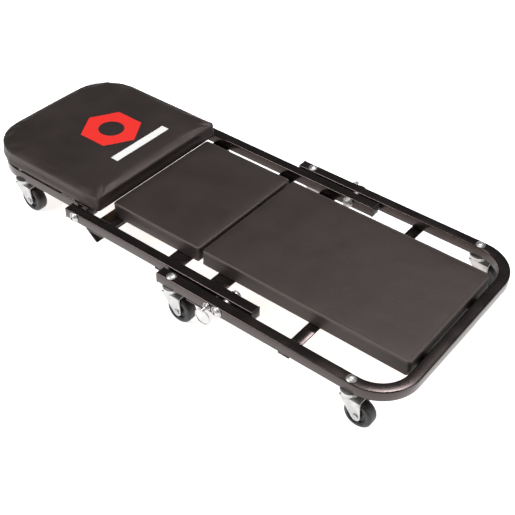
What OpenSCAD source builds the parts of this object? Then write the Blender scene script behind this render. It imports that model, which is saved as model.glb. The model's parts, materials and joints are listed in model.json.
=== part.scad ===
// Folding mechanics creeper that turns into a Z-shaped seat.
// The origin is on the floor below the middle of the creeper's box.
// +X points to the foot end, -X to the head end, +Z up, and -Y is the user's right.

/* [Overall] */
// Length from the end of the head pad to the end of the foot frame
overall_l = 948; // [940:1:960]
// Outer width of the foot frame
foot_w = 420; // [420:1:430]
// Height of the frame tubes' underside above the floor
tube_z = 63; // [62.5:0.5:66]

/* [Tube] */
// Side of the square frame tube
tube = 20; // [19.5:0.1:20]
// Wall thickness of the frame tube
tube_wall = 1.5; // [1.2:0.1:2]
// Thickness of the flat cross straps
strap_t = 3; // [2:0.5:3]

/* [Foot frame] */
// Length of the foot frame along the floor
foot_l = 465; // [460:1:470]
// Outer radius of the foot frame's corners
foot_corner_r = 75; // [60:1:75]
// Distance of the foot end casters from the foot end
foot_caster_d = 81; // [80:1:84]
// Distance of the middle casters from the foot end
mid_caster_d = 437; // [436:1:439]

/* [Middle frame] */
// Distance of the main pivot from the foot end
main_pivot_d = 332; // [330:1:334]
// Distance of the head pivot from the foot end
head_pivot_d = 682; // [681:1:683]
// Sideways gap between the foot frame and the middle rails
rail_gap = 5; // [4.5:0.5:5.5]
// Length of the rails behind the main pivot
tail_l = 55; // [50:1:56]
// Length of the rails past the head pivot
nose_l = 25; // [20:1:28]
// Angle through which the middle frame and the seat fold
fold_angle = 138; // [136:1:138]

/* [Head frame] */
// Outer radius of the head frame's corners
head_corner_r = 80; // [70:1:80]
// Distance of the head casters from the foot end
head_caster_d = 854; // [853:1:858]
// How far the head pad stands out past its frame
head_overhang = 8; // [6:1:10]

/* [Pads] */
// Thickness of the plywood pad boards
board_t = 9; // [8:1:9]
// Width of the middle and foot pads
pad_w = 258; // [250:1:260]
// Height of the middle and foot pads' top above the floor
pad_top = 94; // [92:0.5:95]
// Height of the head pad's top above the floor
head_pad_top = 116; // [112:1:120]

/* [Casters] */
// Radius of the caster wheels
wheel_r = 25; // [24:0.5:25]
// Width of the caster wheels
wheel_w = 21; // [20:0.5:21]
// Distance of the wheel's axle behind the swivel axis
trail = 21.5; // [20:0.5:22]

/* [Hidden] */
$fn = 64;
foot_x = overall_l / 2;
foot_in = foot_w / 2 - tube;
foot_mid_y = foot_w / 2 - tube / 2;
tube_top = tube_z + tube;

rail_lift = 0.4;
rail_z = tube_z + rail_lift;
rail_out = foot_in - rail_gap;
rail_in = rail_out - tube;
pivot_z = rail_z + tube / 2;
main_x = foot_x - main_pivot_d;
head_x = foot_x - head_pivot_d;
rail_foot_x = main_x + tail_l;
rail_head_x = head_x - nose_l;

head_gap = 5;
head_out = rail_in - head_gap;
head_in = head_out - tube;
head_mid_y = head_out - tube / 2;
head_tail = 14;
head_end_x = -foot_x + head_overhang;

play = 0.3;
pin_play = 0.05;
cap_t = 4;
cap_plug_l = 12;
short_plug_l = 3.5;

front_strap_w = 35;
front_strap_x = main_x - 30;
middle_strap_x = foot_x - 188.5;
middle_strap_w = 21.5;
tab_w = 30;
tab_l = 62;
tab_y = 80;
middle_bar_x = foot_x - 455;
middle_bar_w = 35;
stop_plate_l = 30;
stop_flat_l = 35;

pad_corner_r = 8;
pad_gap = 2;
seam_x = foot_x - 436;
foot_pad_x1 = foot_x - 24;
head_pad_x1 = foot_x - 643;
head_pad_out = rail_in - 2;
head_pad_r = 84;
board_inset = 6;
board_show = 1.5;
head_strap_w = 35;

bolt_r = 5;
bolt_head_r = 8.75;
bolt_head_h = 5.5;
caster_head_h = 3.6;
low_head_h = 2.5;
hex_socket_r = 3.5;
hex_socket_d = 2.2;
washer_r = 10;
washer_t = 1.6;
spacer_r = 8;
nut_r = 9;
nut_t = 8;

pin_r = 3.5;
pin_x = main_x - 20;
pin_end_y = foot_w / 2 + 15;
pin_tip_y = rail_out + 0.6;
pin_collar_r = 6;
pin_collar_t = 2;
pin_travel = 8;
ring_y = foot_w / 2 + 11.8;
ring_mean_r = 14.5;
ring_wire_r = 1.1;
ring_hole_r = 1.75;
spring_turns = 5;
spring_steps = 10;
spring_r = 4.9;
spring_wire_r = 0.5;

fork_plate_t = 2.2;
hub_half = wheel_w / 2 + 0.8;
leg_in = hub_half + play;
leg_out = leg_in + fork_plate_t;
crown_z = 51.5;
crown_t = 3;
cup_r = 15;
cup_top = tube_z - 4;
king_r = 7;
race_t = 3.6;
race_r = 16;
ball_r = 1.9;
ball_ring_r = 9.7;
ball_count = 10;
cup_floor = cup_top - 3.1;
ball_z = cup_floor + ball_r + pin_play;
axle_r = 3;
leg_end_r = 8;
leg_front_lean = 38;
leg_back_lean = 6;

CASTERS = [
    ["foot_right", foot_caster_d, -foot_mid_y],
    ["foot_left", foot_caster_d, foot_mid_y],
    ["middle_right", mid_caster_d, -foot_mid_y],
    ["middle_left", mid_caster_d, foot_mid_y],
    ["head_right", head_caster_d, -head_mid_y],
    ["head_left", head_caster_d, head_mid_y]
];

FRAME_BLACK = "#1b1a1a";
VINYL_BLACK = "#26221f";
PLYWOOD = "#b58a55";
ZINC = "#c9ccd0";
STEEL = "#8e9196";
PLASTIC = "#151515";
RUBBER = "#232222";

// ---------- helpers ----------

// Solid between two corners
module block(a, b) {
    translate(a)
        cube([b[0] - a[0], b[1] - a[1], b[2] - a[2]]);
}

// Round bar along Y between two values of y
module bar_y(x, z, y0, y1, r) {
    translate([x, min(y0, y1), z])
        rotate([-90, 0, 0])
            cylinder(h = abs(y1 - y0), r = r);
}

// The children once as drawn, and once mirrored to the other side
module both_sides() {
    children();
    mirror([0, 1, 0])
        children();
}

// Hollow square tube along X, centred on y
module tube_x(x0, x1, y, z) {
    difference() {
        block([x0, y - tube / 2, z], [x1, y + tube / 2, z + tube]);
        block([x0 - 1, y - tube / 2 + tube_wall, z + tube_wall],
              [x1 + 1, y + tube / 2 - tube_wall, z + tube - tube_wall]);
    }
}

// Ring-shaped tube section, seen across the bend
module bent_section(r_out) {
    difference() {
        translate([r_out - tube, 0])
            square([tube, tube]);
        translate([r_out - tube + tube_wall, tube_wall])
            square([tube - 2 * tube_wall, tube - 2 * tube_wall]);
    }
}

// U-shaped bent tube that closes a frame at the +X side of x = 0
module end_bow(half_w, r_out, reach, z) {
    straight = half_w - r_out;
    translate([0, 0, z]) {
        both_sides()
            translate([reach - r_out, straight, 0])
                rotate_extrude(angle = 90)
                    bent_section(r_out);
        translate([reach - tube, -straight, 0])
            difference() {
                cube([tube, 2 * straight, tube]);
                translate([tube_wall, -1, tube_wall])
                    cube([tube - 2 * tube_wall, 2 * straight + 2, tube - 2 * tube_wall]);
            }
    }
}

// Plastic plug for an open tube end, its outer face turned to side = +1 or -1 along X
module tube_cap(x, y, z, side, plug_l) {
    fit = tube_wall + 0.02;
    lip = cap_t;
    translate([x, y, z + tube / 2])
        mirror([side < 0 ? 1 : 0, 0, 0]) {
            intersection() {
                block([0, -tube / 2, -tube / 2], [lip, tube / 2, tube / 2]);
                translate([lip - tube, 0, -tube / 2])
                    cylinder(h = tube, r = tube);
                translate([lip - tube, tube / 2, 0])
                    rotate([90, 0, 0])
                        cylinder(h = tube, r = tube);
            }
            block([-plug_l, fit - tube / 2, fit - tube / 2], [0, tube / 2 - fit, tube / 2 - fit]);
        }
}

// Flat outline with rounded corners: r0 at the -X end and r1 at the +X end
module rounded_outline(x0, x1, half_w, r0, r1) {
    translate([x0 + r0, -half_w])
        square([x1 - x0 - r0 - r1, 2 * half_w]);
    translate([x0, -half_w + r0])
        square([r0 + 1, 2 * (half_w - r0)]);
    translate([x1 - r1 - 1, -half_w + r1])
        square([r1 + 1, 2 * (half_w - r1)]);
    for (s = [-1, 1]) {
        translate([x0 + r0, s * (half_w - r0)])
            circle(r = r0);
        translate([x1 - r1, s * (half_w - r1)])
            circle(r = r1);
    }
}

module slab(x0, x1, half_w, r0, r1, z0, z1) {
    translate([0, 0, z0])
        linear_extrude(z1 - z0)
            rounded_outline(x0, x1, half_w, r0, r1);
}

// Foam and vinyl cushion wrapped round its board, which shows a little below it
module cushion(x0, x1, half_w, r0, r1, z0, z1) {
    difference() {
        slab(x0, x1, half_w, r0, r1, z0 + board_show, z1);
        translate([0, 0, z0])
            linear_extrude(board_t)
                rounded_outline(x0 + board_inset, x1 - board_inset, half_w - board_inset,
                                r0 - board_inset, r1 - board_inset);
    }
}

module board(x0, x1, half_w, r0, r1, z0) {
    slab(x0 + board_inset, x1 - board_inset, half_w - board_inset,
         r0 - board_inset, r1 - board_inset, z0, z0 + board_t);
}

// Domed screw with a hex socket, its head resting on z = 0 and its shank below
module button_screw(shank, head_h) {
    dome_r = (bolt_head_r * bolt_head_r + head_h * head_h) / (2 * head_h);
    difference() {
        union() {
            intersection() {
                translate([0, 0, head_h - dome_r])
                    sphere(r = dome_r);
                cylinder(h = head_h, r = bolt_head_r);
            }
            translate([0, 0, -shank])
                cylinder(h = shank + 0.5, r = bolt_r);
        }
        translate([0, 0, head_h - hex_socket_d])
            cylinder(h = hex_socket_d + 1, r = hex_socket_r, $fn = 6);
    }
}

// Domed hexagon nut along Z, its flat face on z = 0
module dome_nut(bore) {
    difference() {
        intersection() {
            cylinder(h = nut_t, r = nut_r, $fn = 6);
            translate([0, 0, nut_t - 14])
                sphere(r = 14);
        }
        translate([0, 0, -1])
            cylinder(h = nut_t, r = bore);
    }
}

module washer_y(x, z, y0, y1, r) {
    difference() {
        bar_y(x, z, y0, y1, r);
        bar_y(x, z, y0 - 1, y1 + 1, bolt_r);
    }
}

// ---------- foot frame ----------

module foot_side_tube(s) {
    x0 = foot_x - foot_l + cap_t;
    x1 = foot_x - foot_corner_r;
    color(FRAME_BLACK)
        difference() {
            tube_x(x0, x1, s * foot_mid_y, tube_z);
            for (d = [foot_caster_d, mid_caster_d])
                translate([foot_x - d, s * foot_mid_y, tube_z - 1])
                    cylinder(h = tube + 2, r = bolt_r + pin_play);
            bar_y(main_x, pivot_z, s * foot_mid_y - tube, s * foot_mid_y + tube, bolt_r + pin_play);
            bar_y(pin_x, pivot_z, s * foot_mid_y - tube, s * foot_mid_y + tube, pin_r + pin_play);
        }
}

module foot_end_bow() {
    color(FRAME_BLACK)
        translate([foot_x - foot_corner_r, 0, 0])
            end_bow(foot_w / 2, foot_corner_r, foot_corner_r, tube_z);
}

module cross_strap(x0, x1, half_w, z_top) {
    color(FRAME_BLACK)
        block([x0, -half_w, z_top - strap_t], [x1, half_w, z_top]);
}

module foot_end_tabs() {
    color(FRAME_BLACK)
        both_sides()
            block([foot_x - tab_l, tab_y - tab_w / 2, tube_z - strap_t],
                  [foot_x - 4, tab_y + tab_w / 2, tube_z]);
}

module foot_tube_caps() {
    color(PLASTIC)
        both_sides()
            tube_cap(foot_x - foot_l + cap_t, foot_mid_y, tube_z, -1, cap_plug_l);
}

module foot_pad_board() {
    color(PLYWOOD)
        board(seam_x + pad_gap, foot_pad_x1, pad_w / 2, pad_corner_r, pad_corner_r, tube_z);
}

module foot_pad_cushion() {
    color(VINYL_BLACK)
        cushion(seam_x + pad_gap, foot_pad_x1, pad_w / 2, pad_corner_r, pad_corner_r,
                tube_z, pad_top);
}

module caster_bolts(ds, y, head_h) {
    color(ZINC)
        both_sides()
            for (d = ds)
                translate([foot_x - d, y, tube_top])
                    button_screw(tube_top - crown_z + 1.5, head_h);
}

module main_pivot_bolts() {
    color(ZINC)
        both_sides()
            translate([main_x, foot_w / 2 + washer_t, pivot_z])
                rotate([-90, 0, 0])
                    button_screw(foot_w / 2 + washer_t - rail_in + play + washer_t + 5, bolt_head_h);
}

module main_pivot_washers() {
    color(ZINC)
        both_sides() {
            washer_y(main_x, pivot_z, foot_w / 2, foot_w / 2 + washer_t, washer_r);
            washer_y(main_x, pivot_z, rail_out + play, foot_in, spacer_r);
            washer_y(main_x, pivot_z, rail_in - play - washer_t, rail_in - play, washer_r);
        }
}

module main_pivot_nuts() {
    color(ZINC)
        both_sides()
            translate([main_x, rail_in - play - washer_t, pivot_z])
                rotate([90, 0, 0])
                    dome_nut(bolt_r);
}

module lock_pin_housings() {
    color(ZINC)
        both_sides()
            difference() {
                union() {
                    bar_y(pin_x, pivot_z, foot_w / 2, foot_w / 2 + 1.5, 7.5);
                    bar_y(pin_x, pivot_z, foot_w / 2, foot_w / 2 + 5.5, 5.5);
                }
                bar_y(pin_x, pivot_z, foot_w / 2 - 1, foot_w / 2 + 7, pin_r + pin_play);
            }
}

// One coil spring: rings of points swept along a helix
module coil_spring(y0, y1) {
    n = spring_turns * spring_steps;
    sides = 6;
    rise = (y1 - y0 - 2 * spring_wire_r) / n;
    points = [
        for (i = [0 : n])
            let (a = i * 360 / spring_steps)
                for (k = [0 : sides - 1])
                    let (b = k * 360 / sides, r = spring_r + spring_wire_r * cos(b))
                        [r * cos(a), y0 + spring_wire_r + i * rise + spring_wire_r * sin(b),
                         r * sin(a)]
    ];
    walls = [
        for (i = [0 : n - 1])
            for (k = [0 : sides - 1])
                let (a = i * sides + k, b = i * sides + (k + 1) % sides)
                    [a, b, b + sides, a + sides]
    ];
    first = [for (k = [sides - 1 : -1 : 0]) k];
    last = [for (k = [0 : sides - 1]) n * sides + k];
    polyhedron(points = points, faces = concat([first], walls, [last]), convexity = 8);
}

module lock_pin_spring(s) {
    y0 = foot_in + tube_wall + pin_collar_t + 0.4;
    color(STEEL)
        mirror([0, s < 0 ? 1 : 0, 0])
            translate([pin_x, 0, pivot_z])
                coil_spring(y0, foot_w / 2 - tube_wall - 0.2);
}

module lock_pin(s) {
    collar_y = foot_in + tube_wall + 0.2;
    color(ZINC)
        mirror([0, s < 0 ? 1 : 0, 0])
            difference() {
                union() {
                    bar_y(pin_x, pivot_z, pin_tip_y, pin_end_y, pin_r);
                    bar_y(pin_x, pivot_z, collar_y, collar_y + pin_collar_t, pin_collar_r);
                }
                translate([pin_x - 10, ring_y, pivot_z])
                    rotate([0, 90, 0])
                        cylinder(h = 20, r = ring_hole_r);
            }
}

module pull_ring(s) {
    color(ZINC)
        translate([pin_x, s * ring_y, pivot_z - ring_mean_r])
            rotate([90, 0, 0])
                rotate_extrude()
                    translate([ring_mean_r, 0])
                        circle(r = ring_wire_r);
}

// ---------- middle frame ----------

module middle_rail(s) {
    y = s * (rail_out + rail_in) / 2;
    color(FRAME_BLACK)
        difference() {
            tube_x(rail_head_x + cap_t, rail_foot_x - cap_t, y, rail_z);
            bar_y(main_x, pivot_z, y - tube, y + tube, bolt_r + pin_play);
            bar_y(head_x, pivot_z, y - tube, y + tube, bolt_r + pin_play);
            bar_y(pin_x, pivot_z, y, y + s * tube, pin_r + 0.25);
        }
}

module middle_rail_caps() {
    y = (rail_out + rail_in) / 2;
    color(PLASTIC)
        both_sides() {
            tube_cap(rail_foot_x - cap_t, y, rail_z, 1, cap_plug_l);
            tube_cap(rail_head_x + cap_t, y, rail_z, -1, cap_plug_l);
        }
}

// Bent plate below the rails: it carries the pad, and the folded head frame rests on its slope
module head_stop_plate() {
    lean = 180 - fold_angle;
    face = tube / 2 + rail_lift + play;
    top = -tube / 2;
    flat_x = (face + (strap_t - top) * cos(lean)) / sin(lean);
    color(FRAME_BLACK)
        translate([head_x, 0, pivot_z]) {
            intersection() {
                rotate([0, lean, 0])
                    translate([0, -rail_out, face])
                        cube([80, 2 * rail_out, strap_t]);
                block([0, -rail_out, -stop_plate_l], [80, rail_out, top]);
            }
            block([flat_x, -rail_out, top - strap_t], [flat_x + stop_flat_l, rail_out, top]);
        }
}

module middle_pad_board() {
    color(PLYWOOD)
        board(head_pad_x1 + pad_gap, seam_x - pad_gap, pad_w / 2, pad_corner_r, pad_corner_r, rail_z);
}

module middle_pad_cushion() {
    color(VINYL_BLACK)
        cushion(head_pad_x1 + pad_gap, seam_x - pad_gap, pad_w / 2, pad_corner_r, pad_corner_r,
                rail_z, pad_top);
}

module head_pivot_bolts() {
    color(ZINC)
        both_sides()
            translate([head_x, rail_out + washer_t, pivot_z])
                rotate([-90, 0, 0])
                    button_screw(rail_out + washer_t - head_in + play + washer_t + 5, bolt_head_h);
}

module head_pivot_washers() {
    color(ZINC)
        both_sides() {
            washer_y(head_x, pivot_z, rail_out, rail_out + washer_t, washer_r);
            washer_y(head_x, pivot_z, head_out + play, rail_in, spacer_r);
            washer_y(head_x, pivot_z, head_in - play - washer_t, head_in - play, washer_r);
        }
}

module head_pivot_nuts() {
    color(ZINC)
        both_sides()
            translate([head_x, head_in - play - washer_t, pivot_z])
                rotate([90, 0, 0])
                    dome_nut(bolt_r);
}

// ---------- head frame ----------

module head_side_tube(s) {
    x0 = head_end_x + head_corner_r;
    x1 = head_x + head_tail - cap_t;
    color(FRAME_BLACK)
        difference() {
            tube_x(x0, x1, s * head_mid_y, tube_z);
            translate([foot_x - head_caster_d, s * head_mid_y, tube_z - 1])
                cylinder(h = tube + 2, r = bolt_r + pin_play);
            bar_y(head_x, pivot_z, s * head_mid_y - tube, s * head_mid_y + tube, bolt_r + pin_play);
        }
}

module head_end_bow() {
    color(FRAME_BLACK)
        translate([head_end_x + head_corner_r, 0, 0])
            mirror([1, 0, 0])
                end_bow(head_out, head_corner_r, head_corner_r, tube_z);
}

// Two straps on top of the head frame, carrying the head pad
module head_crossbars() {
    end_x = head_end_x + 35;
    end_y = head_mid_y - 10;
    near_x = head_x - 58;
    color(FRAME_BLACK) {
        block([end_x, -end_y, tube_top], [end_x + head_strap_w, end_y, tube_top + strap_t]);
        block([near_x, -head_out, tube_top], [near_x + head_strap_w, head_out, tube_top + strap_t]);
    }
}

module head_tube_caps() {
    color(PLASTIC)
        both_sides()
            tube_cap(head_x + head_tail - cap_t, head_mid_y, tube_z, 1, short_plug_l);
}

module head_pad_board() {
    color(PLYWOOD)
        board(-foot_x, head_pad_x1, head_pad_out, head_pad_r, pad_corner_r, tube_top + strap_t);
}

module head_pad_cushion() {
    color(VINYL_BLACK)
        cushion(-foot_x, head_pad_x1, head_pad_out, head_pad_r, pad_corner_r,
                tube_top + strap_t, head_pad_top);
}

// ---------- casters ----------

// Race pressed to the underside of the tube, with the hollow kingpin below it
module caster_race() {
    foot_t = 1.4;
    difference() {
        union() {
            translate([0, 0, tube_z - race_t])
                cylinder(h = race_t, r = race_r);
            translate([0, 0, crown_z - 0.6 - foot_t])
                cylinder(h = tube_z - crown_z + 0.6 + foot_t, r = king_r);
            translate([0, 0, crown_z - 0.6 - foot_t])
                cylinder(h = foot_t, r = king_r + 3);
        }
        translate([0, 0, crown_z - 5])
            cylinder(h = tube, r = bolt_r);
        translate([0, 0, ball_z])
            rotate_extrude()
                translate([ball_ring_r, 0])
                    circle(r = ball_r + pin_play);
    }
}

module caster_races(ds, y) {
    color(ZINC)
        both_sides()
            for (d = ds)
                translate([foot_x - d, y, 0])
                    caster_race();
}

module caster_balls(ds, y) {
    color(STEEL)
        both_sides()
            for (d = ds)
                for (i = [0 : ball_count - 1])
                    translate([foot_x - d, y, ball_z])
                        rotate([0, 0, i * 360 / ball_count])
                            translate([ball_ring_r, 0, 0])
                                sphere(r = ball_r, $fn = 32);
}

// Outline of one fork leg, seen from the side
module leg_outline() {
    front = [trail - leg_end_r * cos(leg_front_lean), wheel_r - leg_end_r * sin(leg_front_lean)];
    back = [trail + leg_end_r * cos(leg_back_lean), wheel_r + leg_end_r * sin(leg_back_lean)];
    rise_front = crown_z + crown_t - front[1];
    rise_back = crown_z + crown_t - back[1];
    polygon([
        front,
        [trail, wheel_r],
        back,
        [back[0] - rise_back * tan(leg_back_lean), crown_z + crown_t],
        [front[0] - rise_front * tan(leg_front_lean), crown_z + crown_t]
    ]);
    translate([trail, wheel_r])
        circle(r = leg_end_r);
}

module caster_fork(c) {
    color(ZINC)
        translate([foot_x - c[1], c[2], 0])
            difference() {
                union() {
                    both_sides()
                        translate([0, leg_out, 0])
                            rotate([90, 0, 0])
                                linear_extrude(fork_plate_t)
                                    leg_outline();
                    translate([0, 0, crown_z])
                        linear_extrude(crown_t) {
                            circle(r = leg_out);
                            translate([0, -leg_out])
                                square([trail + 4.5, 2 * leg_out]);
                        }
                    difference() {
                        translate([0, 0, crown_z])
                            cylinder(h = cup_top - crown_z, r = cup_r);
                        translate([0, 0, cup_floor])
                            cylinder(h = tube, r = ball_ring_r + ball_r + 0.1);
                    }
                }
                cylinder(h = tube_z, r = king_r + pin_play);
                bar_y(trail, wheel_r, -leg_out - 1, leg_out + 1, axle_r + pin_play);
            }
}

module caster_axle(c) {
    color(STEEL)
        translate([foot_x - c[1], c[2], 0]) {
            bar_y(trail, wheel_r, -leg_out - 1, leg_out + 1, axle_r);
            both_sides()
                bar_y(trail, wheel_r, leg_out, leg_out + 1.8, axle_r + 2);
        }
}

// Half section of the wheel, the axle's middle at the origin
module wheel_section() {
    tread_r = 5.5;
    half = wheel_w / 2;
    difference() {
        union() {
            translate([0, -half])
                square([wheel_r - tread_r, wheel_w]);
            translate([0, tread_r - half])
                square([wheel_r, wheel_w - 2 * tread_r]);
            for (s = [-1, 1])
                translate([wheel_r - tread_r, s * (half - tread_r)])
                    circle(r = tread_r);
        }
        for (s = [-1, 1])
            translate([8, s * (half - 1.5) - 1.6])
                square([10, 3.2]);
    }
    translate([0, -hub_half])
        square([6.5, 2 * hub_half]);
}

module caster_wheel(c) {
    color(RUBBER)
        translate([foot_x - c[1] + trail, c[2], wheel_r])
            rotate([90, 0, 0])
                difference() {
                    rotate_extrude()
                        intersection() {
                            wheel_section();
                            translate([0, -wheel_w])
                                square([wheel_r + 1, 2 * wheel_w]);
                        }
                    translate([0, 0, -wheel_w])
                        cylinder(h = 2 * wheel_w, r = axle_r + pin_play);
                }
}

// ---------- assembly ----------

foot_side_tube(-1);  // foot_side_tube_right
foot_side_tube(1);  // foot_side_tube_left
foot_end_bow();
cross_strap(front_strap_x - front_strap_w, front_strap_x, foot_w / 2, tube_z);  // foot_front_crossbar
cross_strap(middle_strap_x - middle_strap_w, middle_strap_x, foot_w / 2, tube_z);  // foot_middle_crossbar
foot_end_tabs();
foot_tube_caps();
foot_pad_board();
foot_pad_cushion();
caster_bolts([foot_caster_d, mid_caster_d], foot_mid_y, caster_head_h);  // foot_caster_bolts
caster_races([foot_caster_d, mid_caster_d], foot_mid_y);  // foot_caster_races
caster_balls([foot_caster_d, mid_caster_d], foot_mid_y);  // foot_caster_balls
main_pivot_bolts();
main_pivot_washers();
main_pivot_nuts();
lock_pin_housings();
lock_pin_spring(-1);  // lock_pin_spring_right
lock_pin_spring(1);  // lock_pin_spring_left
lock_pin(-1);  // lock_pin_right
lock_pin(1);  // lock_pin_left
pull_ring(-1);  // pull_ring_right
pull_ring(1);  // pull_ring_left
middle_rail(-1);  // middle_rail_right
middle_rail(1);  // middle_rail_left
cross_strap(middle_bar_x - middle_bar_w, middle_bar_x, rail_out, rail_z);  // middle_crossbar
head_stop_plate();
middle_rail_caps();
middle_pad_board();
middle_pad_cushion();
head_pivot_bolts();
head_pivot_washers();
head_pivot_nuts();
head_side_tube(-1);  // head_side_tube_right
head_side_tube(1);  // head_side_tube_left
head_end_bow();
head_crossbars();
head_tube_caps();
head_pad_board();
head_pad_cushion();
caster_bolts([head_caster_d], head_mid_y, low_head_h);  // head_caster_bolts
caster_races([head_caster_d], head_mid_y);  // head_caster_races
caster_balls([head_caster_d], head_mid_y);  // head_caster_balls
for (c = CASTERS) {
    caster_fork(c);
    caster_axle(c);
    caster_wheel(c);
}
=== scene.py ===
"""Looks of a folding mechanics creeper: padded boards on a square-tube frame with six casters."""
import json
import logging
import math
from dataclasses import dataclass, field
from enum import Enum

import bmesh
import bpy
from mathutils import Matrix, Vector, noise

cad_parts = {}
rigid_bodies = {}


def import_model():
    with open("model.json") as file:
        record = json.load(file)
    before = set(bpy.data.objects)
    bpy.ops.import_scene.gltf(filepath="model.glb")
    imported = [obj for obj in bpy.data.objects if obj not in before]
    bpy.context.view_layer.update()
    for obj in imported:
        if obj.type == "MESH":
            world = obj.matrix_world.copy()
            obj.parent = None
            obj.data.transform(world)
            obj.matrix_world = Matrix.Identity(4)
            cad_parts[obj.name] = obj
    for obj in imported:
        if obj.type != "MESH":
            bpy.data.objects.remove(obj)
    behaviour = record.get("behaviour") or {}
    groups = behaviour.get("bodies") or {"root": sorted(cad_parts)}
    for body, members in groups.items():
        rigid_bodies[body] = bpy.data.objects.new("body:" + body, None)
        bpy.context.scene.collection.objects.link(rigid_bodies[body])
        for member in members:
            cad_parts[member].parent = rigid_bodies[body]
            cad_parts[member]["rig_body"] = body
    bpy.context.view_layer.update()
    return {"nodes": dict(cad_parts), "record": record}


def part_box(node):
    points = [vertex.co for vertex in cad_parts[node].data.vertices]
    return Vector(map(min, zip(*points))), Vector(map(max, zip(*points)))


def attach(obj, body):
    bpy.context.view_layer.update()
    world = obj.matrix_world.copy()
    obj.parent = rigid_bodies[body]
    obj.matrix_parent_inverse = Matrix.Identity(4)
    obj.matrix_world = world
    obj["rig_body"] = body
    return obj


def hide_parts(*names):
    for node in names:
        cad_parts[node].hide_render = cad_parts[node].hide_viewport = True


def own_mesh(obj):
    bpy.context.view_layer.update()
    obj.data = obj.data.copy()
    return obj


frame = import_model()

MM = 0.001
log = logging.getLogger("creeper")


class Slot(Enum):
    """The record's material slots."""

    PAINT = "frame_paint"
    VINYL = "pad_vinyl"
    PLYWOOD = "pad_plywood"
    ZINC = "bright_zinc"
    STEEL = "bare_steel"
    PLASTIC = "cap_plastic"
    RUBBER = "wheel_rubber"


# ---------------------------------------------------------------- shader maths


class Value:
    """A shader socket that Python's arithmetic works on."""

    def __init__(self, shader: "Shader", socket: bpy.types.NodeSocket) -> None:
        """Keeps the socket and the shader that it belongs to."""
        self.shader = shader
        self.socket = socket

    def _math(self, operation: str, first: object, second: object) -> "Value":
        """Adds a Math node.

        Args:
            operation: the Math node's operation.
            first: its first value or link.
            second: its second value or link.

        Returns:
            The node's result.
        """
        return self.shader.value("ShaderNodeMath", {"operation": operation}, {0: first, 1: second})

    def __add__(self, other: object) -> "Value":
        """self + other."""
        return self._math("ADD", self, other)

    def __radd__(self, other: object) -> "Value":
        """other + self."""
        return self._math("ADD", other, self)

    def __sub__(self, other: object) -> "Value":
        """self - other."""
        return self._math("SUBTRACT", self, other)

    def __rsub__(self, other: object) -> "Value":
        """other - self."""
        return self._math("SUBTRACT", other, self)

    def __mul__(self, other: object) -> "Value":
        """self * other."""
        return self._math("MULTIPLY", self, other)

    def __rmul__(self, other: object) -> "Value":
        """other * self."""
        return self._math("MULTIPLY", other, self)

    def __pow__(self, other: object) -> "Value":
        """self to the power of other."""
        return self._math("POWER", self, other)

    def size(self) -> "Value":
        """The value without its sign."""
        return self.shader.value("ShaderNodeMath", {"operation": "ABSOLUTE"}, {0: self})

    def most(self, other: object) -> "Value":
        """The greater of self and other."""
        return self._math("MAXIMUM", self, other)

    def above(self, low: float, high: float) -> "Value":
        """Goes from 0 at low to 1 at high, which may be the lesser, and stays between them."""
        return self.shader.value("ShaderNodeMapRange", {"clamp": True}, {0: self, 1: low, 2: high})


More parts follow.
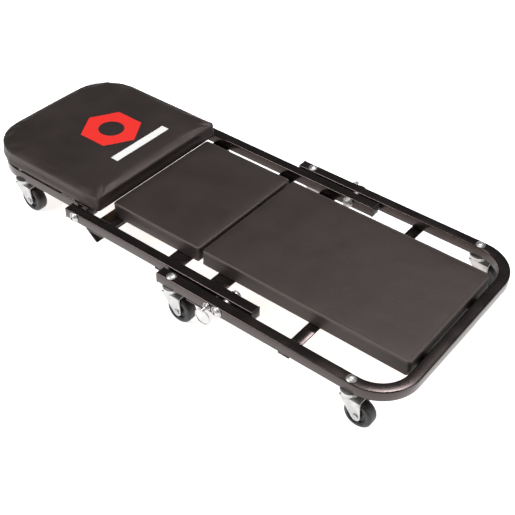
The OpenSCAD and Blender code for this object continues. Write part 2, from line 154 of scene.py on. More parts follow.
class Shader:
    """A material's node tree, built node by node."""

    def __init__(self, name: str) -> None:
        """Starts an empty material of that name."""
        self.material = bpy.data.materials.new(name)
        self.material.use_nodes = True
        self.tree = self.material.node_tree
        self.tree.nodes.clear()
        self.place = self.node("ShaderNodeTexCoord").outputs["Object"]

    def node(self, kind: str, settings: dict | None = None,
             inputs: dict | None = None) -> bpy.types.Node:
        """Adds any node.

        Args:
            kind: the node's type.
            settings: its properties, set first; "stops" fills a colour ramp.
            inputs: a number, colour, socket or Value for each input, by name or place.

        Returns:
            The new node.
        """
        made = self.tree.nodes.new(kind)
        for key, value in (settings or {}).items():
            if key == "stops":
                ramp = made.color_ramp.elements
                while len(ramp) < len(value):
                    ramp.new(0.5)
                for element, (position, shade) in zip(ramp, value):
                    element.position = position
                    element.color = (*shade, 1.0)
            else:
                setattr(made, key, value)
        for key, value in (inputs or {}).items():
            value = value.socket if isinstance(value, Value) else value
            if isinstance(value, bpy.types.NodeSocket):
                self.tree.links.new(value, made.inputs[key])
            else:
                made.inputs[key].default_value = value
        return made

    def value(self, kind: str, settings: dict, inputs: dict, output: object = 0) -> Value:
        """Adds a node and returns one of its outputs as a Value."""
        return Value(self, self.node(kind, settings, inputs).outputs[output])

    def noise(self, size: float, detail: float = 4.0, stretch: tuple = (1.0, 1.0, 1.0)) -> Value:
        """Soft cloudy noise.

        Args:
            size: the size of its blobs in metres.
            detail: how many finer layers it has.
            stretch: how much it is squeezed along x, y and z.

        Returns:
            A value about 0.5.
        """
        place = self.node("ShaderNodeMapping", None, {"Vector": self.place, "Scale": stretch}).outputs[0]
        return self.value("ShaderNodeTexNoise", {}, {"Vector": place, "Scale": 1.0 / size, "Detail": detail})

    def cells(self, size: float, feature: str = "F1") -> Value:
        """Grain cells of that size in metres."""
        inputs = {"Vector": self.place, "Scale": 1.0 / size}
        return self.value("ShaderNodeTexVoronoi", {"feature": feature}, inputs, "Distance")

    def shades(self, factor: Value, *stops: tuple) -> bpy.types.NodeSocket:
        """A colour that runs through the stops as factor rises."""
        return self.node("ShaderNodeValToRGB", {"stops": stops}, {"Fac": factor}).outputs["Color"]

    def mix(self, factor: Value, under: bpy.types.NodeSocket, over: tuple) -> bpy.types.NodeSocket:
        """Covers a colour with another one where factor is 1."""
        inputs = {"Factor": factor, 6: under, 7: (*over, 1.0)}
        return self.node("ShaderNodeMix", {"data_type": "RGBA"}, inputs).outputs[2]

    def bump(self, height: Value, depth: float,
             under: bpy.types.NodeSocket | None = None) -> bpy.types.NodeSocket:
        """A normal roughened by height, depth metres deep, on top of another normal."""
        inputs = {"Height": height, "Distance": depth, "Strength": 1.0}
        if under is not None:
            inputs["Normal"] = under
        return self.node("ShaderNodeBump", {}, inputs).outputs["Normal"]

    def finish(self, **inputs: object) -> bpy.types.Material:
        """Ends the tree in a Principled shader with these inputs, spaces written as underscores."""
        named = {key.replace("_", " "): value for key, value in inputs.items()}
        principled = self.node("ShaderNodeBsdfPrincipled", {}, named)
        output = self.node("ShaderNodeOutputMaterial")
        self.tree.links.new(principled.outputs[0], output.inputs["Surface"])
        return self.material


# ---------------------------------------------------------------- finishes


@dataclass(frozen=True)
class FramePaint:
    """Gloss black enamel on steel, with a little dust and orange peel."""

    dark: tuple = (0.0032, 0.0026, 0.0025)
    dusty: tuple = (0.0095, 0.0078, 0.0072)
    gloss: float = 0.19

    def make(self) -> bpy.types.Material:
        """Builds the material."""
        s = Shader("frame_paint")
        cloud = s.noise(0.045, 5.0)
        specks = s.noise(0.0016, 2.0).above(0.66, 0.74)
        peel = s.noise(0.0032, 2.0)
        color = s.shades(cloud + specks * 0.25, (0.40, self.dark), (0.85, self.dusty))
        rough = cloud * 0.16 + specks * 0.12 + (self.gloss - 0.06)
        return s.finish(Base_Color=color, Roughness=rough, Coat_Weight=0.06, Coat_Roughness=0.12,
                        Specular_IOR_Level=0.66, Specular_Tint=(1.0, 0.79, 0.77, 1.0),
                        Normal=s.bump(peel, 0.00005))


@dataclass(frozen=True)
class PadVinyl:
    """Black upholstery vinyl: pebbled grain, soft creases, a dull shine and a painted highlight along the
    top edge.
    """

    name: str = "pad_vinyl"
    dark: tuple = (0.0110, 0.0084, 0.0078)
    worn: tuple = (0.0250, 0.0194, 0.0180)
    # Colour of the painted highlight along the pad's top edge, standing in for the light that the edge
    # catches.
    rim: tuple = (0.120, 0.098, 0.092)
    grain: float = 0.0011
    print_place: tuple | None = None
    print_red: tuple = (0.78, 0.022, 0.016)
    print_white: tuple = (0.80, 0.80, 0.79)
    print_edge: float = 0.6 * MM
    nut_half: float = 52.0 * MM
    nut_hole_r: float = 24.6 * MM
    bar_place: float = 76.0 * MM
    bar_half: float = 8.6 * MM
    bar_reach: float = 70.0 * MM

    def printed(self, s: Shader, color: bpy.types.NodeSocket) -> bpy.types.NodeSocket:
        """Lays the print on the vinyl: a hexagon nut outline and a plain bar.

        Args:
            s: the shader.
            color: the vinyl's own colour.

        Returns:
            The colour with the print on top.
        """
        parts = s.node("ShaderNodeSeparateXYZ", {}, {0: s.place})
        x = Value(s, parts.outputs["X"]) - self.print_place[0]
        y = Value(s, parts.outputs["Y"]) - self.print_place[1]
        across = x.size() * math.cos(math.pi / 6) + y.size() * 0.5
        flats = across.most(y.size())
        hole = (x * x + y * y) ** 0.5
        worn = s.noise(0.0009, 3.0).above(0.28, 0.34)
        soft = self.print_edge
        outline = flats.above(self.nut_half, self.nut_half - soft)
        nut = outline * hole.above(self.nut_hole_r, self.nut_hole_r + soft) * worn
        across_bar = (x - self.bar_place).size().above(self.bar_half, self.bar_half - soft)
        bar = across_bar * y.size().above(self.bar_reach, self.bar_reach - soft) * worn
        return s.mix(bar, s.mix(nut, color, self.print_red), self.print_white)

    def make(self) -> bpy.types.Material:
        """Builds the material."""
        s = Shader(self.name)
        cloud = s.noise(0.08, 4.0)
        pebbles = s.cells(self.grain)
        fine = s.noise(0.0005, 3.0)
        crease = s.cells(0.022, "DISTANCE_TO_EDGE").above(0.0, 0.05)
        broken = s.noise(0.03, 3.0).above(0.50, 0.62)
        creases = 1.0 - (1.0 - crease) * broken
        color = s.shades(cloud * 0.7 + pebbles * 0.35, (0.30, self.dark), (0.80, self.worn))
        # A vertex attribute from the cushion mesh marks the top edge; there a lighter colour is mixed in as
        # a painted highlight, and the vinyl is made glossier.
        rim = s.value("ShaderNodeAttribute", {"attribute_name": "rim"}, {}, "Fac")
        color = s.mix(rim * 0.75, color, self.rim)
        if self.print_place:
            color = self.printed(s, color)
        rough = cloud * 0.14 + pebbles * 0.12 + 0.40 - rim * 0.14
        soft = s.bump(s.noise(0.035, 3.0), 0.0004)
        folded = s.bump(creases, 0.00008, soft)
        grained = s.bump(pebbles * 0.8 + fine * 0.3, 0.00007, folded)
        return s.finish(Base_Color=color, Roughness=rough, Specular_IOR_Level=0.55,
                        Specular_Tint=(1.0, 0.82, 0.79, 1.0), Normal=grained)


@dataclass(frozen=True)
class Plywood:
    """Bare birch plywood, plies showing at its edges."""

    light: tuple = (0.50, 0.34, 0.18)
    dark: tuple = (0.30, 0.18, 0.085)

    def make(self) -> bpy.types.Material:
        """Builds the material."""
        s = Shader("pad_plywood")
        figure = s.noise(0.012, 6.0, (0.10, 1.0, 1.0))
        inputs = {"Vector": s.place, "Scale": 1.0 / 0.0095, "Distortion": 0.6}
        plies = s.value("ShaderNodeTexWave", {"bands_direction": "Z"}, inputs, 1)
        color = s.shades(figure * 0.75 + plies * 0.25, (0.32, self.dark), (0.70, self.light))
        return s.finish(Base_Color=color, Roughness=figure * 0.2 + 0.5, Normal=s.bump(figure, 0.0002))


@dataclass(frozen=True)
class PlatedSteel:
    """Plated or bare steel: fine streaks, small spangle and scuffs."""

    name: str = "bright_zinc"
    light: tuple = (0.58, 0.57, 0.565)
    dark: tuple = (0.42, 0.415, 0.41)
    rough: float = 0.34

    def make(self) -> bpy.types.Material:
        """Builds the material."""
        s = Shader(self.name)
        cloud = s.noise(0.010, 5.0)
        streaks = s.noise(0.0012, 3.0, (1.0, 1.0, 0.12))
        color = s.shades(cloud * 0.7 + streaks * 0.3, (0.32, self.dark), (0.62, self.light))
        rough = cloud * 0.18 + streaks * 0.12 + (self.rough - 0.06)
        return s.finish(Base_Color=color, Metallic=1.0, Roughness=rough, Normal=s.bump(streaks, 0.00001))


@dataclass(frozen=True)
class MouldedBlack:
    """Black moulded plastic or rubber with a fine tooth."""

    name: str = "cap_plastic"
    dark: tuple = (0.007, 0.0065, 0.0065)
    pale: tuple = (0.020, 0.0185, 0.018)
    rough: float = 0.42
    tooth: float = 0.00005

    def make(self) -> bpy.types.Material:
        """Builds the material."""
        s = Shader(self.name)
        cloud = s.noise(0.012, 5.0)
        fine = s.noise(0.0006, 2.0)
        color = s.shades(cloud, (0.35, self.dark), (0.75, self.pale))
        rough = cloud * 0.18 + fine * 0.10 + (self.rough - 0.12)
        return s.finish(Base_Color=color, Roughness=rough, Normal=s.bump(fine, self.tooth))


@dataclass(frozen=True)
class PaleFloor:
    """Plain pale studio floor."""

    pale: tuple = (0.90, 0.90, 0.90)
    glow: float = 0.80

    def make(self) -> bpy.types.Material:
        """Builds the material."""
        s = Shader("studio_floor")
        cloud = s.noise(0.6, 2.0)
        darker = tuple(0.98 * part for part in self.pale)
        color = s.shades(cloud, (0.4, darker), (0.6, self.pale))
        return s.finish(Base_Color=color, Roughness=0.9, Emission_Color=(1.0, 1.0, 1.0, 1.0),
                        Emission_Strength=self.glow)


class Finishes:
    """Every finish, made once."""

    def __init__(self) -> None:
        """Builds the materials by slot."""
        bare = PlatedSteel("bare_steel", (0.50, 0.50, 0.51), (0.34, 0.34, 0.35), 0.28)
        rubber = MouldedBlack("wheel_rubber", (0.0075, 0.0064, 0.0060), (0.0190, 0.0160, 0.0150), 0.40)
        self.by_slot = {
            Slot.PAINT: FramePaint().make(),
            Slot.VINYL: PadVinyl().make(),
            Slot.PLYWOOD: Plywood().make(),
            Slot.ZINC: PlatedSteel().make(),
            Slot.STEEL: bare.make(),
            Slot.PLASTIC: MouldedBlack().make(),
            Slot.RUBBER: rubber.make(),
        }
        self.printed = PadVinyl(name="printed_vinyl", print_place=(-0.306, 0.012)).make()

    def dress(self, piece: bpy.types.Object, slot: Slot) -> None:
        """Gives a piece its finish.

        Args:
            piece: a mesh object, whose slots are all set.
            slot: the finish's slot.
        """
        if not piece.material_slots:
            piece.data.materials.append(None)
        for place in piece.material_slots:
            place.material = self.by_slot[slot]


# ---------------------------------------------------------------- mesh helpers


def made_piece(name: str, shape: bmesh.types.BMesh, smooth: float = 35.0) -> bpy.types.Object:
    """Turns a bmesh into an object and frees it.

    Args:
        name: the piece's name.
        shape: the finished bmesh.
        smooth: edges flatter than this, in degrees, are shaded smooth.

    Returns:
        The new object, at the origin.
    """
    mesh = bpy.data.meshes.new(name)
    shape.to_mesh(mesh)
    shape.free()
    piece = bpy.data.objects.new(name, mesh)
    bpy.context.scene.collection.objects.link(piece)
    mesh.shade_smooth()
    mesh.set_sharp_from_angle(angle=math.radians(smooth))
    return piece


def merged_copy(node: str) -> bmesh.types.BMesh:
    """A CAD node's mesh with its loose triangles joined up."""
    shape = bmesh.new()
    shape.from_mesh(frame["nodes"][node].data)
    bmesh.ops.remove_doubles(shape, verts=shape.verts, dist=1e-6)
    return shape


def soften(shape: bmesh.types.BMesh, width: float, segments: int, angle: float = 40.0) -> None:
    """Rounds every edge sharper than angle.

    Args:
        shape: the bmesh, changed in place.
        width: how far the rounding reaches from the edge, in metres.
        segments: how many faces it has.
        angle: the least turn between two faces, in degrees.
    """
    sharp = [edge for edge in shape.edges if edge.calc_face_angle(0.0) > math.radians(angle)]
    bmesh.ops.bevel(shape, geom=sharp, offset=width, offset_type="OFFSET", affect="EDGES",
                    segments=segments, profile=0.5, material=-1, clamp_overlap=True)


def lathe(rims: list[tuple], centre: Vector, steps: int = 64) -> bmesh.types.BMesh:
    """Turns a closed outline about an axle along Y.

    Args:
        rims: (radius, y) points of the closed outline.
        centre: the point on the axle where y is 0.
        steps: faces round the axle.

    Returns:
        The closed ring as a bmesh.
    """
    shape = bmesh.new()
    points = [shape.verts.new((r, y, 0.0)) for r, y in rims]
    edges = [shape.edges.new((a, b)) for a, b in zip(points, points[1:] + points[:1])]
    bmesh.ops.spin(shape, geom=points + edges, cent=(0, 0, 0), axis=(0, 1, 0), angle=math.tau,
                   steps=steps, use_merge=True)
    bmesh.ops.remove_doubles(shape, verts=shape.verts, dist=1e-6)
    bmesh.ops.recalc_face_normals(shape, faces=shape.faces)
    bmesh.ops.translate(shape, verts=shape.verts, vec=centre)
    return shape


def arc(centre: tuple, radius: float, start: float, end: float, steps: int) -> list[tuple]:
    """Points along an arc, from start to end degrees, both included."""
    turns = [math.radians(start + (end - start) * i / steps) for i in range(steps + 1)]
    return [(centre[0] + radius * math.cos(t), centre[1] + radius * math.sin(t)) for t in turns]


# ---------------------------------------------------------------- frame tubes


@dataclass
class TubeRun:
    """One run of square tube: straights and bends in a level plane."""

    name: str
    body: str
    start: Vector
    moves: list
    nodes: tuple
    side: float = 20 * MM
    corner: float = 2.2 * MM
    corner_steps: int = 4
    bend_steps: int = 20

    def section(self, shape: bmesh.types.BMesh) -> list:
        """Draws the tube's rounded outline across +X at the start, and returns its vertices and edges."""
        flat = self.side / 2 - self.corner
        points = []
        centres = ((flat, flat), (-flat, flat), (-flat, -flat), (flat, -flat))
        for turn, (y, z) in zip((0, 90, 180, 270), centres):
            points += arc((y, z), self.corner, turn, turn + 90, self.corner_steps)
        verts = [shape.verts.new(self.start + Vector((0.0, y, z))) for y, z in points]
        edges = [shape.edges.new((a, b)) for a, b in zip(verts, verts[1:] + verts[:1])]
        return verts + edges

    def build(self) -> bpy.types.Object:
        """Sweeps the outline along the run and closes both ends."""
        shape = bmesh.new()
        front = self.section(shape)
        heading = Vector((1.0, 0.0, 0.0))
        place = self.start.copy()
        first = [item for item in front if isinstance(item, bmesh.types.BMEdge)]
        for kind, *sizes in self.moves:
            edges = [item for item in front if isinstance(item, bmesh.types.BMEdge)]
            if kind == "straight":
                front = bmesh.ops.extrude_edge_only(shape, edges=edges)["geom"]
                verts = [item for item in front if isinstance(item, bmesh.types.BMVert)]
                bmesh.ops.translate(shape, verts=verts, vec=heading * sizes[0])
                place += heading * sizes[0]
            else:
                radius, angle = sizes
                left = Vector((-heading.y, heading.x, 0.0)) * math.copysign(1.0, angle)
                centre = place + left * radius
                turn = Matrix.Rotation(math.radians(angle), 3, "Z")
                front = bmesh.ops.spin(shape, geom=front, cent=centre, axis=(0, 0, 1),
                                       angle=math.radians(angle), steps=self.bend_steps)["geom_last"]
                place = centre + turn @ (place - centre)
                heading = turn @ heading
            front = [item for item in front if not isinstance(item, bmesh.types.BMFace)]
        last = [item for item in front if isinstance(item, bmesh.types.BMEdge)]
        bmesh.ops.edgeloop_fill(shape, edges=first)
        bmesh.ops.edgeloop_fill(shape, edges=last)
        bmesh.ops.remove_doubles(shape, verts=shape.verts, dist=1e-6)
        bmesh.ops.recalc_face_normals(shape, faces=shape.faces)
        return made_piece(self.name, shape, 60.0)

    def dress(self, finishes: Finishes) -> bpy.types.Object:
        """Builds, paints and hangs the tube on its body."""
        piece = self.build()
        finishes.dress(piece, Slot.PAINT)
        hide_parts(*self.nodes)
        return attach(piece, self.body)


class FrameTubes:
    """The bent foot tube, the two middle rails and the bent head tube."""

    def runs(self) -> list[TubeRun]:
        """The four tube runs, placed by the CAD nodes that they stand for."""
        made = []
        for end, sign in (("foot", 1.0), ("head", -1.0)):
            low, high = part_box(f"{end}_side_tube_right")
            bow_low, bow_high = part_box(f"{end}_end_bow")
            side = high.z - low.z
            middle = (low + high) / 2
            radius = bow_high.x - bow_low.x - side / 2
            straight = high.x - low.x
            across = 2 * (abs(middle.y) - radius)
            start_x = low.x if sign > 0 else high.x
            start = Vector((sign * start_x, middle.y, middle.z))
            moves = [("straight", straight), ("bend", radius, 90.0), ("straight", across),
                     ("bend", radius, 90.0), ("straight", straight)]
            nodes = (f"{end}_side_tube_right", f"{end}_side_tube_left", f"{end}_end_bow")
            run = TubeRun(f"{end}_frame_tube", f"{end}_frame", start, moves, nodes, side)
            made.append((run, sign))
        for hand in ("right", "left"):
            low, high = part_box(f"middle_rail_{hand}")
            start = Vector((low.x, (low.y + high.y) / 2, (low.z + high.z) / 2))
            run = TubeRun(f"middle_rail_tube_{hand}", "middle_frame", start,
                          [("straight", high.x - low.x)], (f"middle_rail_{hand}",), high.z - low.z)
            made.append((run, 1.0))
        return made

    def dress(self, finishes: Finishes) -> None:
        """Builds every run; the head one is drawn facing +X and then turned half round."""
        for run, sign in self.runs():
            piece = run.dress(finishes)
            if sign < 0:
                piece.data.transform(Matrix.Rotation(math.pi, 4, "Z"))
            log.info("%s: %d faces", piece.name, len(piece.data.polygons))


@dataclass
class FlatSteel:
    """Straps, plates, tabs and boards: the CAD shapes with their edges eased."""

    painted: tuple = ("foot_front_crossbar", "foot_middle_crossbar", "foot_end_tabs",
                      "middle_crossbar", "head_stop_plate", "head_crossbars")
    boards: tuple = ("foot_pad_board", "middle_pad_board", "head_pad_board")
    steel_edge: float = 0.6 * MM
    board_edge: float = 0.8 * MM

    def dress(self, finishes: Finishes) -> None:
        """Builds the eased pieces."""
        work = [(node, Slot.PAINT, self.steel_edge) for node in self.painted]
        work += [(node, Slot.PLYWOOD, self.board_edge) for node in self.boards]
        for node, slot, edge in work:
            shape = merged_copy(node)
            flat = math.radians(0.5)
            bmesh.ops.dissolve_limit(shape, angle_limit=flat, verts=shape.verts, edges=shape.edges)
            soften(shape, edge, 2)
            piece = made_piece(f"{node}_eased", shape)
            finishes.dress(piece, slot)
            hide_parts(node)
            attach(piece, frame["nodes"][node]["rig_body"])
            log.info("%s: %d faces", piece.name, len(piece.data.polygons))


# ---------------------------------------------------------------- cushions


@dataclass
class Cushion:
    """Foam pad under pulled vinyl, puffed by cloth pressure and creased at its corners."""

    name: str
    node: str
    body: str
    head_corner: float
    foot_corner: float
    crown: float
    board: str
    shoulder: float = 1.5 * MM
    voxel: float = 4 * MM
    swell: float = 0.4 * MM
    inset: float = 0.5 * MM
    pleats: int = 7
    pleat_depth: float = 0.8 * MM
    welt: float = 0.3 * MM
    welt_place: float = 3.0 * MM
    calm: int = 0
    edge_reach: float = 6 * MM
    edge_power: float = 6.0
    # Width of the band along the top edge that gets the painted highlight.
    painted_highlight_width: float = 2.4 * MM
    welt_width: float = 2.2 * MM
    lump: float = 0.30 * MM
    lump_rate: Vector = field(default_factory=lambda: Vector((26.0, 26.0, 12.0)))
    pleat_reach: float = 10 * MM
    pressure: float = 4.0
    stiffness: float = 25.0
    bending: float = 4.0
    frames: int = 20

    def span(self) -> tuple[Vector, Vector]:
        """The corners of the pad with its vinyl drawn down over the board's edge."""
        low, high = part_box(self.node)
        board_low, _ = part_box(self.board)
        return Vector((low.x, low.y, board_low.z + 0.2 * MM)), high

    def block(self) -> bmesh.types.BMesh:
        """A block of the CAD cushion's outline, a little smaller, its corners rounded."""
        low, high = self.span()
        grow = Vector((self.inset, self.inset, 0.0))
        low, high = low + grow, high - grow
        shape = bmesh.new()
        bmesh.ops.create_cube(shape, size=1.0)
        bmesh.ops.scale(shape, verts=shape.verts, vec=high - low)
        bmesh.ops.translate(shape, verts=shape.verts, vec=(low + high) / 2)
        middle = (low.x + high.x) / 2
        for at_head, radius in ((True, self.head_corner), (False, self.foot_corner)):
            upright = [edge for edge in shape.edges
                       if abs(edge.verts[0].co.z - edge.verts[1].co.z) > 1e-4
                       and edge.verts[0].co.x == edge.verts[1].co.x
                       and (edge.verts[0].co.x < middle) == at_head
                       and abs(edge.verts[0].co.x - (low.x if at_head else high.x)) < 1e-5]
            bmesh.ops.bevel(shape, geom=upright, offset=radius - self.inset, offset_type="OFFSET",
                            affect="EDGES", segments=16, profile=0.5, material=-1, clamp_overlap=True)
        top = [edge for edge in shape.edges
               if min(v.co.z for v in edge.verts) > high.z - 1e-5 and len(edge.link_faces) == 2
               and edge.calc_face_angle(0.0) > 1.0]
        bmesh.ops.bevel(shape, geom=top, offset=self.shoulder, offset_type="OFFSET", affect="EDGES",
                        segments=4, profile=0.5, material=-1, clamp_overlap=True)
        return shape

    def puff(self, piece: bpy.types.Object) -> None:
        """Fills the skin with cloth pressure and keeps each point within the swell.

        Args:
            piece: the remeshed block, changed in place.
        """
        rest = [v.co.copy() for v in piece.data.vertices]
        low, _ = self.span()
        held = piece.vertex_groups.new(name="held")
        floor = [i for i, co in enumerate(rest) if co.z < low.z + self.voxel * 0.9]
        held.add(floor, 1.0, "REPLACE")
        cloth = piece.modifiers.new("cloth", "CLOTH")
        cloth.settings.use_pressure = True
        cloth.settings.uniform_pressure_force = self.pressure
        cloth.settings.effector_weights.gravity = 0.0
        cloth.settings.vertex_group_mass = held.name
        cloth.settings.quality = 6
        cloth.settings.tension_stiffness = self.stiffness
        cloth.settings.compression_stiffness = self.stiffness
        cloth.settings.bending_stiffness = self.bending
        cloth.point_cache.frame_end = self.frames
        scene = bpy.context.scene
        for number in range(1, self.frames + 1):
            scene.frame_set(number)
        ready = piece.evaluated_get(bpy.context.evaluated_depsgraph_get())
        moved = [v.co.copy() for v in ready.data.vertices]
        piece.modifiers.remove(cloth)
        piece.vertex_groups.clear()
        for vertex, old, new in zip(piece.data.vertices, rest, moved):
            step = new - old
            if step.length > self.swell:
                step *= self.swell / step.length
            vertex.co = old + step
        scene.frame_set(1)

    def depth(self, co: Vector, middle: Vector, half: Vector) -> float:
        """How far a point lies inside the pad's rounded outline.

        Args:
            co: the point.
            middle: the middle of the pad's box.
            half: half the size of the pad's box.

        Returns:
            The distance in metres, below 0 outside.
        """
        radius = self.head_corner if co.x < middle.x else self.foot_corner
        x = abs(co.x - middle.x) - (half.x - radius)
        y = abs(co.y - middle.y) - (half.y - radius)
        return radius - math.hypot(max(x, 0.0), max(y, 0.0)) - min(max(x, y), 0.0)

    def crisp(self, co: Vector, low: Vector, high: Vector) -> Vector:
        """Draws a point near the top edge out, so that the rounding there gets tighter.

        Args:
            co: the point.
            low: the low corner of the pad's box.
            high: its high corner.

        Returns:
            How far to move the point.
        """
        middle = (low + high) / 2
        half = (high - low) / 2
        reach = self.edge_reach
        radius = self.head_corner if co.x < middle.x else self.foot_corner
        x = abs(co.x - middle.x) - (half.x - radius)
        y = abs(co.y - middle.y) - (half.y - radius)
        out = reach - self.depth(co, middle, half)
        up = reach - (high.z - co.z)
        if out <= 0.0 or up <= 0.0:
            return Vector()
        length = math.hypot(out, up)
        power = self.edge_power
        gain = ((out / length) ** power + (up / length) ** power) ** (-1.0 / power) - 1.0
        way = Vector((max(x, 0.0), max(y, 0.0), 0.0)) if x > 0 and y > 0 else Vector((x > y, y >= x, 0.0))
        way.normalize()
        way.x = math.copysign(way.x, co.x - middle.x)
        way.y = math.copysign(way.y, co.y - middle.y)
        return way * (out * gain) + Vector((0.0, 0.0, up * gain))

    def smooth_out(self, piece: bpy.types.Object) -> None:
        """Evens out the skin's small waves."""
        skin = bmesh.new()
        skin.from_mesh(piece.data)
        for _ in range(self.calm):
            bmesh.ops.smooth_vert(skin, verts=skin.verts, factor=0.5, use_axis_x=True,
                                  use_axis_y=True, use_axis_z=True)
        skin.to_mesh(piece.data)
        skin.free()

    def pleat(self, co: Vector, middle: Vector, half: Vector, height: float) -> Vector:
        """The gathered vinyl round a corner.

        Args:
            co: the point.
            middle: the middle of the pad's box.
            half: half the size of the pad's box.
            height: how high the point lies, from 0 at the bottom to 1 at the top.

        Returns:
            How far to move the point.
        """
        for end, radius in ((-1.0, self.head_corner), (1.0, self.foot_corner)):
            for hand in (-1.0, 1.0):
                centre = Vector((middle.x + end * (half.x - radius), middle.y + hand * (half.y - radius)))
                away = Vector((co.x - centre.x, co.y - centre.y, 0.0))
                if away.x * end > 0 and away.y * hand > 0:
                    turn = math.atan2(abs(away.y), abs(away.x)) / (math.pi / 2)
                    near = max(0.0, 1.0 - abs(away.length - radius) / self.pleat_reach)
                    wave = math.cos(turn * math.tau * self.pleats / 2)
                    return away.normalized() * (wave * near * (1.0 - 0.75 * height) * self.pleat_depth)
        return Vector()

    def shape_top(self, piece: bpy.types.Object) -> None:
        """Sharpens the top's rim and marks it for the vinyl's painted edge highlight, crowns it, raises its
        fold and sets the corner pleats.
        """
        if self.calm:
            self.smooth_out(piece)
        low, high = self.span()
        half = (high - low) / 2
        middle = (high + low) / 2
        # Weight of the painted edge highlight for each point: 1 at the top edge, fading inwards.
        marks = piece.data.attributes.new("rim", "FLOAT", "POINT").data
        for vertex in piece.data.vertices:
            vertex.co += self.crisp(vertex.co, low, high)
            co = vertex.co
            near = math.hypot(max(0.0, self.depth(co, middle, half)), max(0.0, high.z - co.z))
            marks[vertex.index].value = math.exp(-(near / self.painted_highlight_width) ** 2)
            u = min(1.0, abs(co.x - middle.x) / half.x)
            v = min(1.0, abs(co.y - middle.y) / half.y)
            height = max(0.0, (co.z - low.z) / (high.z - low.z))
            dome = (1.0 - u ** 4) * (1.0 - v ** 4)
            co.z += self.crown * dome * min(1.0, height) ** 2
            co.z += self.lump * noise.noise(co * self.lump_rate) * height
            inside = self.depth(co, middle, half)
            fold = math.exp(-((inside - self.welt_place) / self.welt_width) ** 2)
            co.z += self.welt * fold * max(0.0, min(1.0, (height - 0.75) / 0.25))
            vertex.co += self.pleat(co, middle, half, height)
        piece.data.update()

    def build(self) -> bpy.types.Object:
        """Makes the finished cushion mesh."""
        piece = made_piece(self.name, self.block(), 60.0)
        remesh = piece.modifiers.new("remesh", "REMESH")
        remesh.mode = "VOXEL"
        remesh.voxel_size = self.voxel
        self.settle(piece)
        self.puff(piece)
        fine = piece.modifiers.new("fine", "SUBSURF")
        fine.levels = fine.render_levels = 1
        self.settle(piece)
        self.shape_top(piece)
        piece.data.shade_smooth()
        return piece

    def settle(self, piece: bpy.types.Object) -> None:
        """Applies the piece's modifiers to its mesh."""
        graph = bpy.context.evaluated_depsgraph_get()
        mesh = bpy.data.meshes.new_from_object(piece.evaluated_get(graph))
        old = piece.data
        piece.modifiers.clear()
        piece.data = mesh
        mesh.name = piece.name
        bpy.data.meshes.remove(old)

    def dress(self, finishes: Finishes) -> bpy.types.Object:
        """Builds, covers and hangs the cushion on its body."""
        piece = self.build()
        piece.data.materials.clear()
        finishes.dress(piece, Slot.VINYL)
        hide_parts(self.node)
        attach(piece, self.body)
        log.info("%s: %d faces", piece.name, len(piece.data.polygons))
        return piece


# ---------------------------------------------------------------- casters


@dataclass
class CasterWheel:
    """Solid rubber tyre on a moulded hub."""

    place: str
    tread_corner: float = 5.5 * MM
    rim_r: float = 17 * MM
    boss_r: float = 6.5 * MM
    bore_r: float = 3.05 * MM
    hub_half: float = 11.3 * MM
    web_half: float = 5.5 * MM
    lip: float = 0.5 * MM
    tyre_half: float = 10.5 * MM

    def tyre(self, centre: Vector, radius: float, half: float) -> bmesh.types.BMesh:
        """The rubber ring with a rounded tread."""
        c = self.tread_corner
        rims = [(self.rim_r, -half + self.lip), (self.rim_r + self.lip, -half)]
        rims += arc((radius - c, -half + c), c, -90, 0, 8)
        rims += arc((radius - c, half - c), c, 0, 90, 8)
        rims += [(self.rim_r + self.lip, half), (self.rim_r, half - self.lip)]
        return lathe(rims, centre, 72)

    def hub(self, centre: Vector, half: float) -> bmesh.types.BMesh:
        """The hub: a thick rim, a recessed web and a boss round the axle."""
        edge = half - 1.2 * MM
        rim_in = self.rim_r - 2.2 * MM
        profile = [(self.bore_r, self.hub_half), (self.boss_r - 0.6 * MM, self.hub_half),
                   (self.boss_r, self.hub_half - 0.6 * MM),
                   (self.boss_r + 0.8 * MM, self.web_half + 0.5 * MM),
                   (self.boss_r + 1.4 * MM, self.web_half), (rim_in - 1.2 * MM, self.web_half),
                   (rim_in - 0.5 * MM, self.web_half + 0.5 * MM), (rim_in, edge - 0.5 * MM),
                   (rim_in + 0.5 * MM, edge), (self.rim_r, edge)]
        mirrored = [(r, -y) for r, y in reversed(profile)]
        return lathe(profile + mirrored, centre, 64)

    def dress(self, finishes: Finishes) -> None:
        """Builds the tyre and the hub on the wheel's body."""
        node = f"caster_wheel_{self.place}"
        low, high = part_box(node)
        centre = (low + high) / 2
        radius = (high.z - low.z) / 2
        half = self.tyre_half
        tyre = made_piece(f"tyre_{self.place}", self.tyre(centre, radius, half), 40.0)
        hub = made_piece(f"wheel_hub_{self.place}", self.hub(centre, half), 40.0)
        for piece, slot in ((tyre, Slot.RUBBER), (hub, Slot.PLASTIC)):
            finishes.dress(piece, slot)
            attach(piece, f"wheel_{self.place}")
        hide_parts(node)
        log.info("%s and %s", tyre.name, hub.name)


@dataclass
class CasterFork:
    """Pressed fork with rolled edges."""

    place: str
    edge: float = 0.45 * MM

    def dress(self, finishes: Finishes) -> None:
        """Eases the CAD fork's edges."""
        node = f"caster_fork_{self.place}"
        shape = merged_copy(node)
        soften(shape, self.edge, 2, 50.0)
        piece = made_piece(f"fork_pressing_{self.place}", shape, 50.0)
        finishes.dress(piece, Slot.ZINC)
        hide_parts(node)
        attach(piece, f"caster_{self.place}")
        log.info("%s: %d faces", piece.name, len(piece.data.polygons))


class Casters:
    """The six swivel casters."""

    places = ("foot_right", "foot_left", "middle_right", "middle_left", "head_right", "head_left")

    def dress(self, finishes: Finishes) -> None:
        """Builds every wheel and fork."""
        for place in self.places:
            CasterWheel(place).dress(finishes)
            CasterFork(place).dress(finishes)


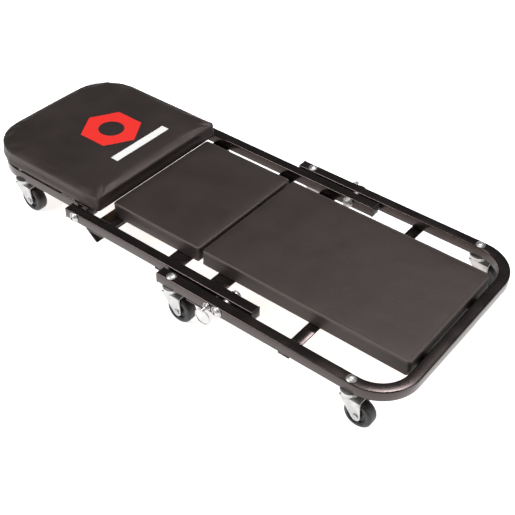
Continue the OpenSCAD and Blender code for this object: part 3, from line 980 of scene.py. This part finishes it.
class LockSprings:
    """The two lock pin springs, copied from the CAD as they stand; the real ones shorten as their pins are
    pulled.
    """

    def dress(self, finishes: Finishes) -> None:
        """Copies each spring in steel, hides its CAD node and hangs the copy, with a mesh of its own, on the
        spring's body.
        """
        for joint in frame["record"]["behaviour"]["joints"]:
            for row in joint.get("deforming_nodes", []):
                node = row["node"]
                piece = made_piece(f"{node}_coil", merged_copy(node), 50.0)
                finishes.dress(piece, Slot.STEEL)
                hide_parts(node)
                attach(piece, frame["nodes"][node]["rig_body"])
                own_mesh(piece)


class Hardware:
    """The CAD nodes whose own shape shows: bolts, nuts, washers, races, pins, rings and plugs."""

    def dress(self, finishes: Finishes) -> None:
        """Gives every CAD node the finish that the record names."""
        slots = {row["node"]: Slot(row["material_slot"]) for row in frame["record"]["subparts"]}
        for name, node in frame["nodes"].items():
            finishes.dress(node, slots[name])
        log.info("%d CAD nodes dressed", len(slots))


# ---------------------------------------------------------------- studio


@dataclass
class Studio:
    """Pale floor, soft lights and the camera."""

    target: Vector = field(default_factory=lambda: Vector((0.1100, -0.06355, 0.07295)))
    distance: float = 1.64387
    azimuth: float = 37.03
    elevation: float = 40.63
    roll: float = 1.64
    lens: float = 67.53
    floor_half: float = 80.0
    surround: float = 0.10

    def build(self, finishes: Finishes) -> None:
        """Makes the floor, the lights and the camera."""
        self.floor()
        self.world()
        self.light("key_light", (-1.25, -1.85, 1.75), 1.1, 44.0)
        self.light("top_light", (0.3, -0.6, 2.7), 1.4, 18.0)
        self.light("side_light", (2.3, 0.2, 0.9), 1.0, 12.0)
        self.light("sheen_light", (0.15, 1.05, 2.5), 0.7, 40.0)
        self.camera()

    def floor(self) -> None:
        """A wide plain floor that isn't part of the object."""
        shape = bmesh.new()
        bmesh.ops.create_grid(shape, x_segments=1, y_segments=1, size=self.floor_half)
        piece = made_piece("studio_floor", shape)
        piece.data.materials.append(PaleFloor().make())

    def world(self) -> None:
        """An even white surround."""
        world = bpy.data.worlds.new("surround")
        world.use_nodes = True
        background = world.node_tree.nodes["Background"]
        background.inputs["Color"].default_value = (1.0, 1.0, 1.0, 1.0)
        background.inputs["Strength"].default_value = self.surround
        bpy.context.scene.world = world
        bpy.context.scene.view_settings.view_transform = "Standard"

    def light(self, name: str, place: tuple, size: float, power: float) -> None:
        """A square soft light aimed at the creeper.

        Args:
            name: the light's name.
            place: where it stands, in metres.
            size: its side in metres.
            power: its power in watts.
        """
        data = bpy.data.lights.new(name, "AREA")
        data.size = size
        data.energy = power
        lamp = bpy.data.objects.new(name, data)
        lamp.location = place
        lamp.rotation_euler = (Vector((0.0, 0.0, 0.05)) - Vector(place)).to_track_quat("-Z", "Y").to_euler()
        bpy.context.scene.collection.objects.link(lamp)

    def camera(self) -> None:
        """The camera, from its angles round the target."""
        azimuth, elevation, roll = map(math.radians, (self.azimuth, self.elevation, self.roll))
        back = Vector((math.sin(azimuth) * math.cos(elevation), -math.cos(azimuth) * math.cos(elevation),
                       math.sin(elevation)))
        right = Vector((0.0, 0.0, 1.0)).cross(back).normalized()
        up = back.cross(right)
        rolled_right = right * math.cos(roll) + up * math.sin(roll)
        rolled_up = up * math.cos(roll) - right * math.sin(roll)
        turn = Matrix((rolled_right, rolled_up, back)).transposed().to_4x4()
        data = bpy.data.cameras.new("camera")
        data.lens = self.lens
        data.sensor_width = 36.0
        data.clip_start = 0.01
        data.clip_end = 50.0
        eye = bpy.data.objects.new("camera", data)
        eye.matrix_world = Matrix.Translation(self.target + back * self.distance) @ turn
        bpy.context.scene.collection.objects.link(eye)
        bpy.context.scene.camera = eye


def cushions() -> list[Cushion]:
    """The three pads."""
    return [
        Cushion("foot_cushion_cover", "foot_pad_cushion", "foot_frame", 5 * MM, 5 * MM, 0.6 * MM,
                "foot_pad_board"),
        Cushion("middle_cushion_cover", "middle_pad_cushion", "middle_frame", 5 * MM, 5 * MM, 0.6 * MM,
                "middle_pad_board"),
        Cushion("head_cushion_cover", "head_pad_cushion", "head_frame", 84 * MM, 7 * MM, 2.2 * MM,
                "head_pad_board", shoulder=3 * MM, inset=2 * MM, swell=2.6 * MM, calm=1, welt=0.8 * MM,
                edge_reach=9 * MM, edge_power=4.5),
    ]


def main() -> None:
    """Builds every sub-assembly in order and reports each piece."""
    logging.basicConfig(level=logging.INFO, format="%(message)s")
    finishes = Finishes()
    Studio().build(finishes)
    Hardware().dress(finishes)
    FrameTubes().dress(finishes)
    FlatSteel().dress(finishes)
    Casters().dress(finishes)
    LockSprings().dress(finishes)
    for cushion in cushions():
        cover = cushion.dress(finishes)
    cover.material_slots[0].material = finishes.printed


if __name__ == "__main__":
    main()
